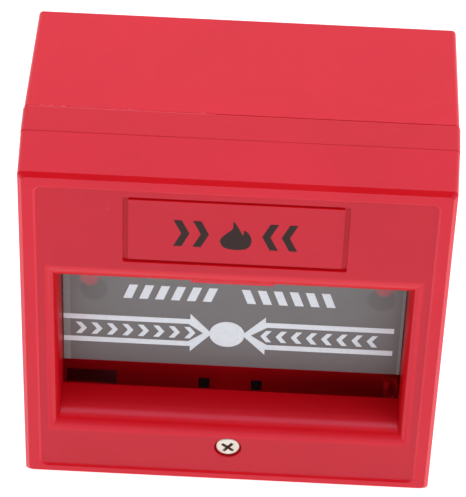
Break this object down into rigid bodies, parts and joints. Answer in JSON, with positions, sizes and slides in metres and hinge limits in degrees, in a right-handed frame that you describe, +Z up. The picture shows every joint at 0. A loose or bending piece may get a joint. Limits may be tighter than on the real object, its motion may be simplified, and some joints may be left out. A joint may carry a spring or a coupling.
{
  "type": "manual call point",
  "caption": "Square red surface-mounted fire alarm call point with a recessed press-in pane, hinged front cover, chassis and deep back box.",
  "frame": {"origin": "centre of the back face, which stands against the wall", "axes": "+Z up, the front faces -Y, +X is to the right of someone who faces it"},
  "size_m": [0.086, 0.05, 0.086],
  "materials": {
    "red_shell": "glossy injection-moulded ABS, fire red",
    "pane_clear": "clear brittle acrylic sheet",
    "grey_film": "grey translucent printed film with white operating marks",
    "black_plastic": "black moulded nylon",
    "white_plastic": "white acetal",
    "zinc_steel": "zinc-plated steel",
    "brass": "turned brass",
    "black_rubber": "black moulded rubber",
    "lead_red": "red PVC insulation",
    "lead_black": "black PVC insulation",
    "lead_blue": "blue PVC insulation"
  },
  "bodies": {
    "casing": {"back_box": "red_shell", "cable_grommet": "black_rubber", "box_insert_left": "brass", "box_insert_right": "brass", "chassis": "red_shell", "chassis_screw_left": "zinc_steel", "chassis_screw_right": "zinc_steel", "cover_insert": "brass", "pane_return_spring": "zinc_steel", "switch_base": "black_plastic", "switch_lid": "black_plastic", "lever_pin": "zinc_steel", "switch_screw_left": "zinc_steel", "switch_screw_right": "zinc_steel", "switch_terminal_common": "brass", "switch_terminal_closed": "brass", "switch_terminal_open": "brass", "terminal_block": "black_plastic", "terminal_clamp_1": "brass", "terminal_clamp_2": "brass", "terminal_clamp_3": "brass", "lead_common": "lead_red", "lead_open": "lead_black", "lead_closed": "lead_blue"},
    "cover": {"front_cover": "red_shell", "cover_screw_washer": "black_plastic"},
    "cover_screw": {"cover_screw": "zinc_steel"},
    "pane": {"break_pane": "pane_clear", "pane_film": "grey_film"},
    "lever": {"switch_lever": "zinc_steel", "roller_pin": "zinc_steel"},
    "roller": {"switch_roller": "white_plastic"},
    "plunger": {"switch_plunger": "white_plastic"},
    "clamp_screw_1": {"terminal_screw_1": "zinc_steel"},
    "clamp_screw_2": {"terminal_screw_2": "zinc_steel"},
    "clamp_screw_3": {"terminal_screw_3": "zinc_steel"}
  },
  "joints": [
    {"name": "cover_swing", "type": "hinge", "parent": "casing", "child": "cover", "pos_m": [0, -0.03765, 0.0429], "axis": [-1, 0, 0], "range_deg": [0, 25]},
    {"name": "cover_screw_turn", "type": "hinge", "parent": "cover", "child": "cover_screw", "pos_m": [0, -0.0494, -0.0325], "axis": [0, -1, 0], "continuous": true},
    {"name": "pane_press", "type": "hinge", "parent": "casing", "child": "pane", "pos_m": [0, -0.03805, 0.0221], "axis": [1, 0, 0], "range_deg": [0, 3.5], "stiffness_Nm_per_rad": 2, "springref_deg": -2.86, "deforming": ["pane_return_spring"]},
    {"name": "lever_turn", "type": "hinge", "parent": "casing", "child": "lever", "pos_m": [-0.0155, -0.0294, -0.009], "axis": [0, 0, 1], "range_deg": [0, 7.3]},
    {"name": "plunger_slide", "type": "slide", "parent": "casing", "child": "plunger", "axis": [0, 1, 0], "range_m": [0, 0.00072]},
    {"name": "roller_spin", "type": "hinge", "parent": "lever", "child": "roller", "pos_m": [-0.0007, -0.03475, -0.009], "axis": [0, 0, 1], "continuous": true},
    {"name": "clamp_screw_1_turn", "type": "hinge", "parent": "casing", "child": "clamp_screw_1", "pos_m": [-0.0062, -0.0222, -0.029], "axis": [0, 1, 0], "continuous": true},
    {"name": "clamp_screw_2_turn", "type": "hinge", "parent": "casing", "child": "clamp_screw_2", "pos_m": [0, -0.0222, -0.029], "axis": [0, 1, 0], "continuous": true},
    {"name": "clamp_screw_3_turn", "type": "hinge", "parent": "casing", "child": "clamp_screw_3", "pos_m": [0.0062, -0.0222, -0.029], "axis": [0, 1, 0], "continuous": true}
  ],
  "couplings": [
    {"joint": "lever_turn", "follows": "pane_press", "ratio": 2.07},
    {"joint": "plunger_slide", "follows": "pane_press", "m_per_rad": 0.01144}
  ]
}
